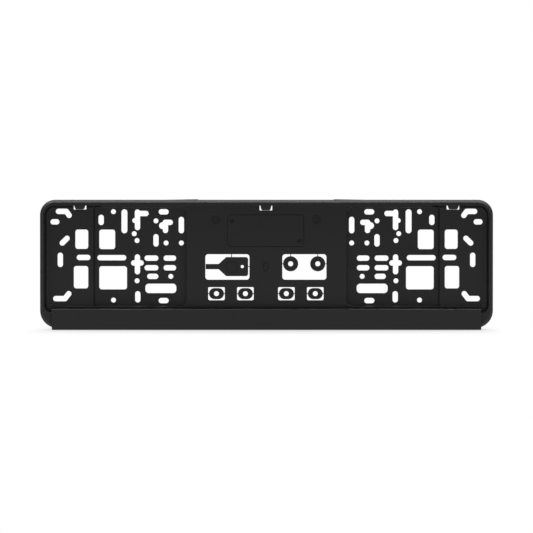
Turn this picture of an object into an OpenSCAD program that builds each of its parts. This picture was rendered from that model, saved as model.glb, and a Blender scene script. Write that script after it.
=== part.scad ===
// Number plate holder for a one-line plate: one black plastic moulding.
// Drawn flat, x to the right, y up and z towards the front, then stood upright:
// the mounting plane is Y = 0, the front faces -Y, and the origin is behind the middle of the plate.

/* [Plate] */
// Width of the number plate
plate_w = 504; // [500:1:512]
// Height of the number plate
plate_h = 120; // [118:0.5:124]
// Play between the plate and the rim on each side
plate_play = 1; // [0.5:0.1:2]

/* [Rim] */
// Width of the rim beside the plate
end_rim_w = 4.9; // [4.5:0.1:8]
// Width of the rim above the plate
top_rim_w = 6.8; // [5:0.1:12]
// Width of the rim below the plate
bottom_rim_w = 17.4; // [12:0.1:20]
// Outer corner radius at the top
top_corner_r = 17.3; // [14:0.1:20]
// Outer corner radius at the bottom
bottom_corner_r = 20; // [16:0.5:24]
// Pocket corner radius at the top
pocket_top_r = 11.2; // [9:0.1:13]
// Pocket corner radius at the bottom
pocket_bottom_r = 8.8; // [7:0.1:9]
// Height of the rim's front face over the mounting plane
rim_z = 9.5; // [9:0.1:12]
// Width of the bevel round the outer front edge
bevel_w = 3.2; // [0.5:0.1:3.4]
// Depth of that bevel
bevel_d = 2.6; // [0.5:0.1:2.8]
// Distance from the middle to the peaks of the two low swellings of the top edge
swell_x = 77.8; // [60:0.1:100]
// Height of those swellings
swell_h = 0.6; // [0.2:0.05:0.8]

/* [Base] */
// Height of the plate's seat over the mounting plane
seat_z = 5; // [4.6:0.1:5.4]
// Thickness of the base
wall = 2; // [1.6:0.1:2.4]
// Thickness of the rim's two side walls
rim_wall = 1.5; // [1.2:0.1:1.8]
// Thickness of the rim's and the bar's front wall
face_t = 2.5; // [2:0.1:3]
// Drop from the seat to the inner screw panels
inner_drop = 3; // [2:0.1:3]
// Drop from the seat to the outer screw panels
outer_drop = 1; // [0.8:0.1:2]
// Width of the sloped edge round the screw panels
slope_w = 1.2; // [0.6:0.1:1.6]
// Half distance between the two inner screw panels
inner_x = 92.2; // [88:0.1:94]
// Distance from the middle to the step between the panels
panel_step_x = 197.2; // [196:0.1:199]
// Gap from the rim to the outer screw panel
outer_gap = 4.4; // [3:0.1:5]
// Gap from the rim to the top of the screw panels
top_gap = 2.7; // [2.5:0.1:3.2]
// Gap from the rim to the bottom of the screw panels
bottom_gap = 8.2; // [6:0.1:9]
// Width of the channel along the rim beside the outer screw panels
channel_w = 2; // [1:0.1:2.2]
// Depth of that channel below the seat
channel_d = 2.4; // [1:0.1:3]
// Width of the groove at the foot of the step between the panels
groove_w = 1.2; // [0.8:0.1:1.6]
// Depth of that groove
groove_d = 1.1; // [0.4:0.1:1.2]
// Corner radius of the outer screw panels
outer_panel_r = 8; // [5:0.1:9]
// Corner radius of the inner screw panels
inner_panel_r = 5.7; // [4:0.1:7]

/* [Bar] */
// Length of the bar over the plate's lower edge
bar_w = 488.8; // [440:0.1:490]
// How far the bar reaches up over the pocket
bar_lap = 4.6; // [4.2:0.1:6]
// How far the bar reaches down past the rim
bar_drop = 2; // [1:0.1:4]
// How far the bar stands in front of the rim
bar_rise = 2.5; // [2:0.1:4]
// Bevel of the bar's top edge
bar_top_bevel = 1; // [0.4:0.1:1.5]
// Bevel of the bar's bottom edge
bar_low_bevel = 0.8; // [0.4:0.1:2.4]

/* [Holes] */
// Diameter of the round screw holes
hole_d = 5.6; // [4.5:0.1:6.5]
// Width of the screw slots
slot_w = 6.1; // [5:0.1:7]
// Corner radius of the square openings
opening_r = 2.9; // [1:0.1:4]

/* [Hooks] */
// Distance from the middle to the outer hooks
hook_x = 212.5; // [210:0.1:213]
// Width of a hook at its root
hook_w = 12.6; // [10:0.1:13]
// How far an outer hook reaches down over the plate
hook_reach = 4.2; // [3:0.1:4.4]
// How much further the middle hook reaches
middle_hook_extra = 1; // [0:0.1:1.1]
// Width of the window behind a hook
hook_window_w = 14.4; // [14:0.1:18]

/* [Break-off pieces] */
// Shift of the middle field's features from the middle
middle_x = -0.7; // [-2:0.1:2]
// Distance from the middle to a large window
window_x = 43.85; // [42:0.05:46]
// Width of a large window
window_w = 50.2; // [49:0.1:52]
// Height of a large window
window_h = 29; // [27:0.1:31]
// Outer diameter of a round washer
washer_d = 17.3; // [12:0.1:17.6]
// Length of an oval washer
oval_w = 17; // [13:0.1:17.2]
// Height of an oval washer
oval_h = 12.6; // [9.6:0.1:13]
// Width of a bridge that holds a break-off piece
bridge_w = 0.9; // [0.6:0.1:1.5]

/* [Hidden] */
$fn = 72;
// Overshoot of a cut past a free face
over = 1;
pocket_x = plate_w / 2 + plate_play;
pocket_y = plate_h / 2 + plate_play;
frame_x = pocket_x + end_rim_w;
frame_top = pocket_y + top_rim_w;
frame_bottom = -pocket_y - bottom_rim_w;
bar_z = rim_z + bar_rise;
bar_top = -pocket_y + bar_lap;
bar_bottom = frame_bottom - bar_drop;
bar_x = bar_w / 2;
inner_z = seat_z - inner_drop;
outer_z = seat_z - outer_drop;
outer_x = pocket_x - outer_gap;
panel_top = pocket_y - top_gap;
panel_bottom = -pocket_y + bottom_gap;

// Rectangle between two corners
module block(x0, x1, y0, y1) {
  translate([x0, y0])
    square([x1 - x0, y1 - y0]);
}

// Rectangle with round corners, one radius at the top and one at the bottom
module field(x0, x1, y0, y1, rt, rb) {
  block(x0, x1, y0 + rb, y1 - rt);
  block(x0 + rt, x1 - rt, y1 - rt, y1);
  block(x0 + rb, x1 - rb, y0, y0 + rb);
  for (x = [x0 + rt, x1 - rt])
    translate([x, y1 - rt])
      circle(r = rt);
  for (x = [x0 + rb, x1 - rb])
    translate([x, y0 + rb])
      circle(r = rb);
}

// Round cornered rectangle about a centre
module window(x, y, w, h, r) {
  field(x - w / 2, x + w / 2, y - h / 2, y + h / 2, r, r);
}

// Round ended slot between two points
module slot(p, q, w = slot_w) {
  length = round(norm(q - p) * 100) / 100;
  translate(p)
    rotate(atan2(q[1] - p[1], q[0] - p[0])) {
      circle(d = w);
      translate([0, -w / 2])
        square([length, w]);
      translate([length, 0])
        circle(d = w);
    }
}

// Level slot about a centre, with its length over the round ends
module slot_across(x, y, length, w = slot_w) {
  half = (length - w) / 2;
  slot([x - half, y], [x + half, y], w);
}

// Upright slot about a centre, with its length over the round ends
module slot_up(x, y, length, w = slot_w) {
  half = (length - w) / 2;
  slot([x, y - half], [x, y + half], w);
}

// Ring of one profile round a field: the profile's x points outwards from the field's edge
module edge_ring(x0, x1, y0, y1, rt, rb) {
  for (c = [[x1 - rt, y1 - rt, rt, 0], [x0 + rt, y1 - rt, rt, 90],
            [x0 + rb, y0 + rb, rb, 180], [x1 - rb, y0 + rb, rb, 270]])
    translate([c[0], c[1], 0])
      rotate(c[3])
        rotate_extrude(angle = 90)
          translate([c[2], 0])
            children();
  run(x1 - rt, y1, x1 - x0 - 2 * rt, 90)
    children();
  run(x0 + rb, y0, x1 - x0 - 2 * rb, 270)
    children();
  run(x1, y0 + rb, y1 - y0 - rt - rb, 0)
    children();
  run(x0, y1 - rt, y1 - y0 - rt - rb, 180)
    children();
}

// Straight run of a profile along one side: it starts at a point, and faces the given way
module run(x, y, length, facing) {
  translate([x, y, 0])
    rotate(facing)
      rotate([90, 0, 180])
        mirror([1, 0, 0])
          linear_extrude(length)
            children();
}

module mirrored() {
  children();
  mirror([1, 0, 0])
    children();
}

// Rim: the outer outline, bevelled round the front, with two low swellings on the top edge
module rim_solid() {
  difference() {
    union() {
      linear_extrude(rim_z)
        field(-frame_x, frame_x, frame_bottom, frame_top, top_corner_r, bottom_corner_r);
      translate([middle_x, 0, 0])
        mirrored()
          swelling();
    }
    edge_ring(-frame_x, frame_x, frame_bottom, frame_top, top_corner_r, bottom_corner_r)
      polygon([[-bevel_w, rim_z], [0, rim_z - bevel_d], [over, rim_z - bevel_d], [over, rim_z + over],
               [-bevel_w, rim_z + over]]);
  }
}

// Low swelling that rises slowly towards the middle and drops off at its peak
module swelling() {
  rise = 36;
  fall = 1.2;
  translate([swell_x, frame_top, 0])
    linear_extrude(rim_z - bevel_d)
      polygon([[-fall, -over], [rise, -over], [rise, 0], [0, swell_h], [-fall, 0]]);
}

// Bar: a flat face with a bevelled top and bottom edge, and clipped lower corners
module bar_solid() {
  clip = 0.5;
  difference() {
    translate([-bar_x, 0, 0])
      rotate([90, 0, 90])
        linear_extrude(bar_w)
          polygon([[bar_top, rim_z], [bar_top, bar_z - bar_top_bevel], [bar_top - bar_top_bevel, bar_z],
                   [bar_bottom + bar_low_bevel, bar_z], [bar_bottom, bar_z - bar_low_bevel],
                   [bar_bottom, 0], [-pocket_y, 0], [-pocket_y, rim_z]]);
    mirrored()
      translate([0, 0, -over])
        linear_extrude(bar_z + 2 * over)
          polygon([[bar_x - clip, bar_bottom - over], [bar_x - clip, bar_bottom],
                   [bar_x, bar_bottom + 2 * clip + over], [bar_x + over, bar_bottom + 2 * clip + over],
                   [bar_x + over, bar_bottom - over]]);
  }
}

// Pocket that the plate lies in
module pocket_cut() {
  translate([0, 0, seat_z])
    linear_extrude(rim_z)
      field(-pocket_x, pocket_x, -pocket_y, pocket_y, pocket_top_r, pocket_bottom_r);
}

// Recess of one pair of screw panels, with its sloped edge
module panel_cut(x0, x1, from_x, to_x, floor_z, r) {
  intersection() {
    union() {
      translate([0, 0, floor_z])
        linear_extrude(seat_z - floor_z + over)
          field(x0, x1, panel_bottom, panel_top, r, r);
      edge_ring(x0, x1, panel_bottom, panel_top, r, r)
        polygon([[0, floor_z], [slope_w, seat_z], [slope_w, seat_z + over], [0, seat_z + over]]);
    }
    linear_extrude(rim_z)
      block(from_x, to_x, panel_bottom - slope_w - over, pocket_y);
  }
}

// Channel along the rim beside an outer screw panel, and the groove at the foot of the panels' step
module panel_channels() {
  translate([0, 0, seat_z - channel_d])
    linear_extrude(seat_z)
      difference() {
        intersection() {
          field(-pocket_x, pocket_x, -pocket_y, pocket_y, pocket_top_r, pocket_bottom_r);
          block(panel_step_x, frame_x, bar_top, pocket_y);
        }
        field(-pocket_x, pocket_x - channel_w, -frame_x, pocket_y - channel_w, pocket_top_r - channel_w,
              pocket_bottom_r - channel_w);
      }
  translate([panel_step_x - groove_w, panel_bottom, inner_z - groove_d])
    cube([groove_w, panel_top - panel_bottom, seat_z]);
}

// Screw holes of the outer panels, measured inwards from the rim
module outer_holes() {
  x = pocket_x;
  slot([x - 15.9, 54.5], [x - 24.9, 54.5]);
  slot([x - 24.9, 54.5], [x - 28.1, 50]);
  slot_across(x - 11.9, 42.6, 10.2);
  slot([x - 20.3, 18.5], [x - 25.7, 23.8]);
  slot_up(x - 18, -0.7, 16.4);
  slot_across(x - 44.5, 2, 15.7);
  slot([x - 12.8, -44.9], [x - 23.3, -44.9]);
  slot([x - 23.3, -44.9], [x - 27.6, -39.3]);
  window(x - 42.5, 22.8, 14.7, 22, opening_r);
  window(x - 41.6, -20.5, 16.4, 25.5, opening_r);
}

// Screw holes of the inner panels, measured outwards from the panel's inner edge
module inner_holes() {
  x = inner_x;
  for (c = [[82.3, 54.2], [33.8, 43.7], [58.6, 29.1], [55.4, 21.3], [22.3, 18.5], [4.9, 18.5],
            [16.9, -19.6], [55.4, -24.6], [82.3, -46.6]])
    translate([x + c[0], c[1]])
      circle(d = hole_d);
  for (s = [[96.3, 44.8, 11.8], [4.9, 38.9, 18.8], [33.8, 21.5, 14.2], [54.6, -42.9, 12.9]])
    slot_up(x + s[0], s[1], s[2]);
  for (s = [[25, 54, 11.4], [84.2, 1.7, 33], [39, 1.2, 15.8], [18, 1.2, 14.3], [39, -9.8, 15.8],
            [18, -9.8, 14.3], [37.5, -19.6, 12.8], [25.1, -47.2, 11.5]])
    slot_across(x + s[0], s[1], s[2]);
  slot_up(x + 69.8, 43.2, 27.3, slot_w + 0.7);
  window(x + 89.4, 22.6, 18.1, 22.2, opening_r);
  window(x + 82.7, -21.2, 31.6, 26.4, opening_r);
  window(x + 28.3, -33.3, 35.3, 10.7, 4);
  cross_hole(x + 55);
  flag_hole(x + 54.9);
  spade_hole(x + 23);
}

// Two slots that cross
module cross_hole(x) {
  slot_up(x, -5.9, 22.8);
  slot_across(x, -4.3, 14.5);
}

// Upright slot with a level arm at its top and a round bump on the outer side
module flag_hole(x) {
  slot_up(x, 44.9, 23.6);
  slot_across(x - 4.8, 52.1, 15.9);
  translate([x + 3.1, 44.1])
    circle(d = hole_d);
}

// Level slot and upright slot that meet in a round hole
module spade_hole(x) {
  slot_across(x - 2.6, 42, 11.7);
  slot_up(x, 37.4, 15.3);
  translate([x + 3.4, 38.2])
    circle(d = 7.8);
}

// Hook under the top rim, with its sloped front, about the middle of its root
module hook(reach) {
  root_t = face_t;
  tip_t = 1.4;
  intersection() {
    translate([0, 0, seat_z])
      linear_extrude(rim_z)
        polygon([[-hook_w / 2, over], [hook_w / 2, over], [hook_w / 2, 0], [hook_w / 2 - 0.9, 1.1 - reach],
                 [hook_w / 2 - 2.2, -reach], [2.2 - hook_w / 2, -reach],
                 [0.9 - hook_w / 2, 1.1 - reach], [-hook_w / 2, 0]]);
    translate([-hook_w, 0, 0])
      rotate([90, 0, 90])
        linear_extrude(2 * hook_w)
          polygon([[over, rim_z], [0, rim_z], [-reach, rim_z - root_t + tip_t],
                   [-reach, rim_z - root_t], [over, rim_z - root_t]]);
  }
}

module hooks() {
  for (x = [-hook_x, hook_x])
    translate([x, pocket_y, 0])
      hook(hook_reach);
  translate([middle_x, pocket_y, 0])
    hook(hook_reach + middle_hook_extra);
}

// Windows in the base behind the hooks
module hook_windows() {
  low = hook_reach + 0.1;
  for (x = [-hook_x, hook_x])
    block(x - hook_window_w / 2, x + hook_window_w / 2, pocket_y - low, pocket_y);
  block(middle_x - hook_window_w / 2, middle_x + hook_window_w / 2, pocket_y - low - middle_hook_extra, pocket_y);
}

// Pocket above the outer end of an inner screw panel, deepest at the step between the panels
module corner_notch() {
  long = 7.6;
  high = 1.9;
  y = pocket_y;
  translate([0, 0, inner_z - 1])
    linear_extrude(seat_z)
      polygon([[panel_step_x - 0.9, y], [panel_step_x - 0.9 - long, y], [panel_step_x - 0.9 - long, y - high / 2],
               [panel_step_x - 0.9, y - high]]);
}

// Slots in the base behind the bar's lip, with a rib between each two
module lip_slots() {
  count = 8;
  rib = 10;
  play = 0.9;
  pitch = bar_w / count;
  for (i = [0 : count - 1])
    block(-bar_x + i * pitch + rib / 2, -bar_x + (i + 1) * pitch - rib / 2, -pocket_y, bar_top - play);
}

// Windows of the break-off pieces
small_window_x = [-56.3, -23.35, 23.35, 56.3];
small_window_w = 18.9;
small_window_h = 14.9;
small_window_y = -39.3;
window_y = -8.8;
module middle_windows() {
  translate([middle_x, 0]) {
    for (x = [-window_x, window_x])
      window(x, window_y, window_w, window_h, 3.2);
    for (x = small_window_x)
      field(x - small_window_w / 2, x + small_window_w / 2, small_window_y - small_window_h / 2,
            small_window_y + small_window_h / 2, 1.2, 2);
  }
}

// Bridge between two points, on the back half of the base
module bridge(p, q) {
  translate([0, 0, seat_z - wall])
    linear_extrude(wall / 2)
      slot(p, q, bridge_w);
}

// Key tool: a blade that flares into a grip with a hanging hole
module key_tool() {
  grip = [-45.2, -20.2];
  blade = [-68.6, -53.8];
  grip_h = 21.8;
  blade_h = 6;
  tip = 2.4;
  r = 2.8;
  y = window_y + 0.4;
  hole_x = -26.9;
  ring_x = -39.2;
  translate([0, 0, seat_z - wall])
    difference() {
      linear_extrude(wall)
        difference() {
          union() {
            block(grip[0], grip[1] - r, y - grip_h / 2, y + grip_h / 2);
            block(grip[1] - 2 * r, grip[1], y - grip_h / 2 + r, y + grip_h / 2 - r);
            for (s = [-1, 1])
              translate([grip[1] - r, y + s * (grip_h / 2 - r)])
                circle(r = r);
            block(blade[0], blade[1], y - blade_h / 2, y + blade_h / 2);
            polygon([[blade[1] - 0.1, y - blade_h / 2], [grip[0], y - grip_h / 2], [grip[0] + 0.1, y - grip_h / 2],
                     [grip[0] + 0.1, y + grip_h / 2], [grip[0], y + grip_h / 2], [blade[1] - 0.1, y + blade_h / 2]]);
          }
          translate([hole_x, y])
            circle(d = 3.6);
        }
      translate([blade[0] - over, y - blade_h, wall / 3])
        cube([tip + over, 2 * blade_h, wall]);
      translate([ring_x, y, wall - 0.4])
        linear_extrude(wall)
          difference() {
            circle(d = 13.6);
            circle(d = 12.2);
          }
    }
  bridge([ring_x, y + grip_h / 2 - 0.2], [ring_x, window_y + window_h / 2 + 0.2]);
  bridge([grip[1] - 0.2, y], [-window_x + window_w / 2 + 0.2, y]);
}

// Round washers beside each other
module round_washers() {
  y = window_y + 3.6;
  for (w = [[window_x - 15.65, -1], [window_x + 15.25, 1]]) {
    translate([w[0], y, seat_z - wall])
      linear_extrude(wall)
        difference() {
          circle(d = washer_d);
          circle(d = 5.7);
        }
    bridge([w[0], y + washer_d / 2 - 0.2], [w[0], window_y + window_h / 2 + 0.2]);
    bridge([w[0] + w[1] * (washer_d / 2 - 0.2), y], [window_x + w[1] * (window_w / 2 + 0.2), y]);
  }
}

// Oval washers, each with a raised collar round its hole
module oval_washers() {
  for (x = small_window_x) {
    translate([x, small_window_y + 0.1, seat_z - wall])
      difference() {
        union() {
          linear_extrude(wall)
            window(0, 0, oval_w, oval_h, oval_h / 2 - 0.1);
          cylinder(h = wall + 0.5, d = 9.4);
        }
        translate([0, 0, -over])
          cylinder(h = wall + 3 * over, d = 5.7);
      }
    for (s = [-1, 1])
      bridge([x + s * (oval_w / 2 - 0.4), small_window_y + 0.1], [x + s * (small_window_w / 2 + 0.2), small_window_y + 0.1]);
  }
}

// Fine groove along the inside of a round ended outline
module slot_groove(length, w, line) {
  difference() {
    slot_up(0, 0, length, w);
    slot_up(0, 0, length - 2 * line, w - 2 * line);
  }
}

// Bare label field, two dot marks, two ring marks and an oval mark on the middle field
module middle_marks() {
  depth = 0.6;
  line = 0.8;
  label = [87.5, 36.9];
  label_r = 4;
  translate([middle_x, 0, 0]) {
    translate([0, 0, seat_z - depth])
      linear_extrude(over) {
        difference() {
          window(-0.2, 32.8, label[0], label[1], label_r);
          window(-0.2, 32.8, label[0] - 2 * line, label[1] - 2 * line, label_r - line);
        }
        for (x = [-57.3, 57.3])
          translate([x, 45.5])
            for (d = [10, 5.4])
              difference() {
                circle(d = d);
                circle(d = d - 2 * line);
              }
        translate([0, -7.9])
          slot_groove(10.3, 6.2, line);
      }
    for (c = [[-38.6, 44.2], [38.3, 21.4]])
      translate([c[0], c[1], seat_z - 2 * depth])
        cylinder(h = 2 * over, d = 4.5);
  }
}

// Hollows in the back: rim channel, middle field, outer panels and bar
module back_hollows() {
  translate([0, 0, -over])
    linear_extrude(rim_z - face_t + over)
      difference() {
        field(-frame_x + rim_wall, frame_x - rim_wall, frame_bottom + rim_wall, frame_top - rim_wall,
              top_corner_r - rim_wall, bottom_corner_r - rim_wall);
        field(-pocket_x - rim_wall, pocket_x + rim_wall, -pocket_y - rim_wall, pocket_y + rim_wall,
              pocket_top_r + rim_wall, pocket_bottom_r + rim_wall);
      }
  translate([0, 0, -over])
    linear_extrude(seat_z - wall + over)
      difference() {
        block(slope_w + wall - inner_x, inner_x - slope_w - wall, -pocket_y, pocket_y);
        back_ribs();
      }
  mirrored()
    translate([0, 0, -over])
      linear_extrude(outer_z - wall + over)
        block(panel_step_x + wall, outer_x, panel_bottom, panel_top);
  bar_hollow();
}

// Hollow behind the bar, with cross ribs left standing
module bar_hollow() {
  count = 8;
  pitch = (bar_w - 2 * rim_wall) / count;
  translate([0, 0, -over])
    linear_extrude(bar_z - face_t + over)
      for (i = [0 : count - 1])
        block(-bar_x + rim_wall + i * pitch + (i == 0 ? rim_wall : rim_wall / 2),
              -bar_x + rim_wall + (i + 1) * pitch - (i == count - 1 ? rim_wall : rim_wall / 2),
              bar_bottom + rim_wall, -pocket_y - rim_wall);
}

// Ribs on the back of the middle field
module back_ribs() {
  t = rim_wall;
  translate([middle_x, 0]) {
    for (x = [-1, 1] * (window_x + window_w / 2 + 5))
      block(x - t / 2, x + t / 2, -pocket_y, pocket_y);
    for (y = [window_y + window_h / 2 + 4, (window_y - window_h / 2 + small_window_y + small_window_h / 2) / 2])
      block(-inner_x, inner_x, y - t / 2, y + t / 2);
  }
  block(-t / 2, t / 2, -pocket_y, pocket_y);
}

module plate_holder() {
  color([0.03, 0.03, 0.03])
    rotate([90, 0, 0]) {
      difference() {
        union() {
          rim_solid();
          bar_solid();
        }
        difference() {
          pocket_cut();
          bar_lip_keep();
        }
        mirrored() {
          panel_cut(inner_x, panel_step_x + 20, inner_x - slope_w, panel_step_x, inner_z, inner_panel_r);
          panel_cut(panel_step_x - 20, outer_x, panel_step_x, outer_x + slope_w, outer_z, outer_panel_r);
          corner_notch();
          panel_channels();
        }
        back_hollows();
        middle_marks();
        translate([0, 0, -over])
          linear_extrude(seat_z + 2 * over) {
            mirrored() {
              outer_holes();
              inner_holes();
            }
            hook_windows();
            lip_slots();
            middle_windows();
          }
      }
      hooks();
      translate([middle_x, 0, 0]) {
        key_tool();
        round_washers();
        oval_washers();
      }
    }
}

// Part of the bar that hangs over the pocket
module bar_lip_keep() {
  translate([-bar_x - over, -pocket_y - over, rim_z])
    cube([bar_w + 2 * over, bar_lap + 2 * over, bar_rise + rim_z]);
}

plate_holder();
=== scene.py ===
import bmesh
import bpy
import math
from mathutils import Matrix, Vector


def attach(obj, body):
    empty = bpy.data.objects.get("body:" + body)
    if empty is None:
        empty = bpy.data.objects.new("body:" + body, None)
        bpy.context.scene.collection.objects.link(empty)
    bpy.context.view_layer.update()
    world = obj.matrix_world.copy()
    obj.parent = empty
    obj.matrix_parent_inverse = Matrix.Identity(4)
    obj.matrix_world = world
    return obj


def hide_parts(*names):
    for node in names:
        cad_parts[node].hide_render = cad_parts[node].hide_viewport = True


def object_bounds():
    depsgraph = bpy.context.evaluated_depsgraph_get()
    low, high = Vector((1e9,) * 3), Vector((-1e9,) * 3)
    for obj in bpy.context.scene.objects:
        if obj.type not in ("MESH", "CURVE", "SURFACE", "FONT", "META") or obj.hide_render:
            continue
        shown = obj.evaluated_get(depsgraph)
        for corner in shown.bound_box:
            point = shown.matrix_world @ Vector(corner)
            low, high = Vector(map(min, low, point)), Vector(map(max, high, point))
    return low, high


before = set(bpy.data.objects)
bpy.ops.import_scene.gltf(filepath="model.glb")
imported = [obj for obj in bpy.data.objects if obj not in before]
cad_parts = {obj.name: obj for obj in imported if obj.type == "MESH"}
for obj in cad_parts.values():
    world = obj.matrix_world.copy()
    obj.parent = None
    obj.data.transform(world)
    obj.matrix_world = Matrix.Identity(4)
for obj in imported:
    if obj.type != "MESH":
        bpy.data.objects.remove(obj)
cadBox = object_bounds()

print("number plate holder: frame loaded")


# ---- small helpers for objects and materials

def newObject(name, data):
    thing = bpy.data.objects.new(name, data)
    bpy.context.scene.collection.objects.link(thing)
    return thing


def newMaterial(name):
    material = bpy.data.materials.new(name)
    material.use_nodes = True
    tree = material.node_tree
    tree.nodes.clear()
    return material, tree


def link(tree, source, target):
    tree.links.new(source, target)


def mapped(tree, value, low, high, fromLow=0, fromHigh=1):
    # takes fromLow to low and fromHigh to high, and stays within them
    node = tree.nodes.new("ShaderNodeMapRange")
    node.inputs["From Min"].default_value = fromLow
    node.inputs["From Max"].default_value = fromHigh
    node.inputs["To Min"].default_value = low
    node.inputs["To Max"].default_value = high
    link(tree, value, node.inputs["Value"])
    return node.outputs["Result"]


def larger(tree, first, second):
    node = tree.nodes.new("ShaderNodeMath")
    node.operation = "MAXIMUM"
    link(tree, first, node.inputs[0])
    link(tree, second, node.inputs[1])
    return node.outputs["Value"]


def noise(tree, place, size, detail):
    node = tree.nodes.new("ShaderNodeTexNoise")
    node.inputs["Scale"].default_value = 1 / size
    node.inputs["Detail"].default_value = detail
    link(tree, place, node.inputs["Vector"])
    return node.outputs["Fac"]


# ---- the moulding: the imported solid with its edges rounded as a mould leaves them

moulding = {
    "piece": "holder_moulding",
    "node": "plate_holder",
    "edgeRadius": 0.0002,       # metres, on every outside and inside edge
    "edgeSegments": 2,
    "sharpAngle": 29,           # degrees, edges flatter than this stay as they are
    "mergeDistance": 0.000002,  # metres
    "flatAngle": 0.2,           # degrees, triangles within this are one flat face
}


def mergedCopy(settings):
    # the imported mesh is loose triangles: join them, then clean up the flat faces
    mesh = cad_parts[settings["node"]].data.copy()
    mesh.materials.clear()
    shell = bmesh.new()
    shell.from_mesh(mesh)
    bmesh.ops.remove_doubles(shell, verts=shell.verts, dist=settings["mergeDistance"])
    bmesh.ops.dissolve_limit(shell, angle_limit=math.radians(settings["flatAngle"]),
                             use_dissolve_boundaries=False, verts=shell.verts,
                             edges=shell.edges, delimit=set())
    shell.to_mesh(mesh)
    shell.free()
    for face in mesh.polygons:
        face.use_smooth = True
    return newObject(settings["piece"], mesh)


def roundEdges(piece, settings):
    bevel = piece.modifiers.new("moulded edges", "BEVEL")
    bevel.width = settings["edgeRadius"]
    bevel.segments = settings["edgeSegments"]
    bevel.limit_method = "ANGLE"
    bevel.angle_limit = math.radians(settings["sharpAngle"])
    bevel.use_clamp_overlap = False
    weighted = piece.modifiers.new("flat faces stay flat", "WEIGHTED_NORMAL")
    weighted.keep_sharp = True
    bpy.context.view_layer.update()
    evaluated = piece.evaluated_get(bpy.context.evaluated_depsgraph_get())
    rounded = bpy.data.meshes.new_from_object(evaluated)
    piece.modifiers.clear()
    piece.data = rounded


# ---- black plastic with the fine grain of a spark-eroded mould

plastic = {
    "colour": (0.03, 0.03, 0.0305, 1),
    "roughness": 0.5,
    "specular": 0.12,
    "grainSize": 0.0009,      # metres
    "grainDetail": 2,
    "grainDepth": 0.00002,    # metres
    "grainStrength": 1,
    "cloudSize": 0.03,        # metres, of the slow change of roughness
    "cloudDetail": 3,
    "cloudSpread": 0.06,      # share of the roughness, up and down
}


def plasticMaterial(settings):
    material, tree = newMaterial("blackMouldedPlastic")
    output = tree.nodes.new("ShaderNodeOutputMaterial")
    surface = tree.nodes.new("ShaderNodeBsdfPrincipled")
    surface.inputs["Base Color"].default_value = settings["colour"]
    surface.inputs["Specular IOR Level"].default_value = settings["specular"]
    place = tree.nodes.new("ShaderNodeTexCoord").outputs["Object"]
    bump = tree.nodes.new("ShaderNodeBump")
    bump.inputs["Strength"].default_value = settings["grainStrength"]
    bump.inputs["Distance"].default_value = settings["grainDepth"]
    grain = noise(tree, place, settings["grainSize"], settings["grainDetail"])
    cloud = noise(tree, place, settings["cloudSize"], settings["cloudDetail"])
    roughness = mapped(tree, cloud,
                       settings["roughness"] * (1 - settings["cloudSpread"]),
                       settings["roughness"] * (1 + settings["cloudSpread"]))
    link(tree, grain, bump.inputs["Height"])
    link(tree, bump.outputs["Normal"], surface.inputs["Normal"])
    link(tree, roughness, surface.inputs["Roughness"])
    link(tree, surface.outputs["BSDF"], output.inputs["Surface"])
    return material


holder = mergedCopy(moulding)
roundEdges(holder, moulding)
holder.data.materials.append(plasticMaterial(plastic))
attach(holder, "root")
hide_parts(moulding["node"])
print("moulding:", len(holder.data.polygons), "faces")


# ---- white studio: floor, world, a softbox overhead and one at each side

studio = {
    "white": (1, 1, 1, 1),
    "floorHalf": 30,               # metres
    "tableLight": 1.22,            # glow of the floor as a light table, on the object alone
    "tableFade": (0.3, 1.0),       # metres from the middle, where that glow fades out
    "shadowReach": 0.17,           # metres, of the soft shadow round the object's foot
    "shadowDepth": 0.7,            # 1 would be black in a closed corner
    "shadowSides": (0.245, 0.27),  # metres from the middle, where the shadow fades out
    "backdropLight": 0.3,          # the pale sweep behind the object
    "roomLight": 0.05,             # the dim room behind the camera
    "roomEdge": 0.35,              # Y of the directions from where each of the two is full
    "topPower": 140,               # watts
    "topSize": (2.4, 1.4),         # metres
    "topPlace": (0, 0.45, 1.2),
    "sidePower": 1.5,
    "sideSize": (1.0, 1.4),
    "sidePlace": (1.3, -0.7, 0.25),
    "aimPoint": (0, -0.1, 0),
}


def distanceAlong(tree, axis):
    # distance from the middle along one axis of the floor
    place = tree.nodes.new("ShaderNodeTexCoord")
    split = tree.nodes.new("ShaderNodeSeparateXYZ")
    away = tree.nodes.new("ShaderNodeMath")
    away.operation = "ABSOLUTE"
    link(tree, place.outputs["Object"], split.inputs["Vector"])
    link(tree, split.outputs[axis], away.inputs[0])
    return away.outputs["Value"]


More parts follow.
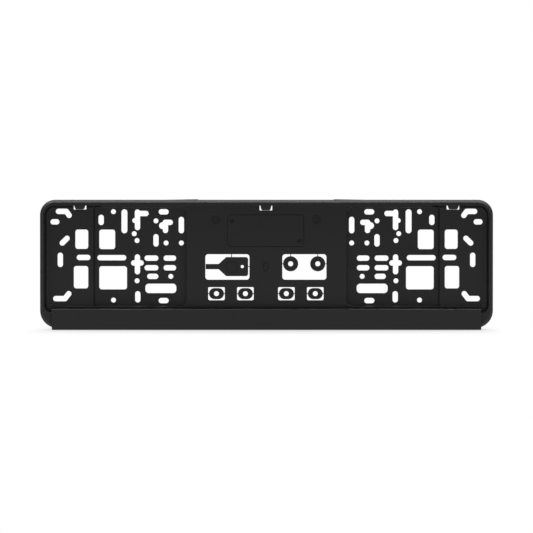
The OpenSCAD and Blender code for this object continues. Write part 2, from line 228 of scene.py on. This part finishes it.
def floorMaterial():
    # camera, gloss and glass see white with the soft shadow; all else is lit as by a light table
    material, tree = newMaterial("studioFloor")
    output = tree.nodes.new("ShaderNodeOutputMaterial")
    path = tree.nodes.new("ShaderNodeLightPath")
    clear = larger(tree, path.outputs["Is Glossy Ray"], path.outputs["Is Transmission Ray"])
    seen = larger(tree, path.outputs["Is Camera Ray"], clear)
    corner = tree.nodes.new("ShaderNodeAmbientOcclusion")
    corner.inputs["Distance"].default_value = studio["shadowReach"]
    depth = mapped(tree, corner.outputs["AO"], studio["shadowDepth"], 0)
    width = mapped(tree, distanceAlong(tree, "X"), 1, 0, *studio["shadowSides"])
    shadow = tree.nodes.new("ShaderNodeMath")
    shadow.operation = "MULTIPLY"
    link(tree, depth, shadow.inputs[0])
    link(tree, width, shadow.inputs[1])
    glow = tree.nodes.new("ShaderNodeEmission")
    link(tree, mapped(tree, shadow.outputs["Value"], 1, 0), glow.inputs["Strength"])
    tableLight = mapped(tree, distanceAlong(tree, "Y"), studio["tableLight"], 0,
                        *studio["tableFade"])
    table = tree.nodes.new("ShaderNodeEmission")
    link(tree, tableLight, table.inputs["Strength"])
    mix = tree.nodes.new("ShaderNodeMixShader")
    link(tree, seen, mix.inputs["Fac"])
    link(tree, table.outputs["Emission"], mix.inputs[1])
    link(tree, glow.outputs["Emission"], mix.inputs[2])
    link(tree, mix.outputs["Shader"], output.inputs["Surface"])
    return material


def makeFloor(height):
    half = studio["floorHalf"]
    corners = [(-half, -half, height), (half, -half, height),
               (half, half, height), (-half, half, height)]
    mesh = bpy.data.meshes.new("floor")
    mesh.from_pydata(corners, [], [(0, 1, 2, 3)])
    mesh.materials.append(floorMaterial())
    newObject("floor", mesh)


def makeWorld():
    # a pale sweep behind the object and a dim room in front; the camera sees white all round
    world = bpy.data.worlds.new("studio")
    world.use_nodes = True
    bpy.context.scene.world = world
    tree = world.node_tree
    tree.nodes.clear()
    output = tree.nodes.new("ShaderNodeOutputWorld")
    background = tree.nodes.new("ShaderNodeBackground")
    background.inputs["Color"].default_value = studio["white"]
    path = tree.nodes.new("ShaderNodeLightPath")
    place = tree.nodes.new("ShaderNodeTexCoord")
    split = tree.nodes.new("ShaderNodeSeparateXYZ")
    link(tree, place.outputs["Generated"], split.inputs["Vector"])
    sweep = mapped(tree, split.outputs["Y"], studio["roomLight"], studio["backdropLight"],
                   -studio["roomEdge"], studio["roomEdge"])
    seen = larger(tree, path.outputs["Is Camera Ray"], path.outputs["Is Transmission Ray"])
    link(tree, larger(tree, seen, sweep), background.inputs["Strength"])
    link(tree, background.outputs["Background"], output.inputs["Surface"])


def aim(thing, place, target):
    thing.location = place
    away = Vector(target) - Vector(place)
    thing.rotation_euler = away.to_track_quat("-Z", "Y").to_euler()


def makeSoftbox(name, place, size, power):
    lamp = bpy.data.lights.new(name, "AREA")
    lamp.shape = "RECTANGLE"
    lamp.size, lamp.size_y = size
    lamp.energy = power
    aim(newObject(name, lamp), place, studio["aimPoint"])


makeFloor(cadBox[0][2])
makeWorld()
makeSoftbox("topSoftbox", studio["topPlace"], studio["topSize"], studio["topPower"])
for side in (-1, 1):
    x, y, z = studio["sidePlace"]
    makeSoftbox("sideSoftbox", (side * x, y, z), studio["sideSize"], studio["sidePower"])
print("studio lit")


# ---- camera: almost square on, slightly above

view = {
    "target": (0, -0.0095, -0.0082),
    "distance": 4.0,   # metres
    "elevation": 1,    # degrees
    "lens": 237.4,     # millimetres
    "sensor": 36,
}

camera = newObject("camera", bpy.data.cameras.new("camera"))
camera.data.lens = view["lens"]
camera.data.sensor_width = view["sensor"]
camera.data.dof.use_dof = False
rise = math.radians(view["elevation"])
towardsCamera = Vector((0, -math.cos(rise), math.sin(rise)))
eye = Vector(view["target"]) + view["distance"] * towardsCamera
aim(camera, eye, view["target"])

scene = bpy.context.scene
scene.camera = camera
scene.view_settings.view_transform = "Standard"
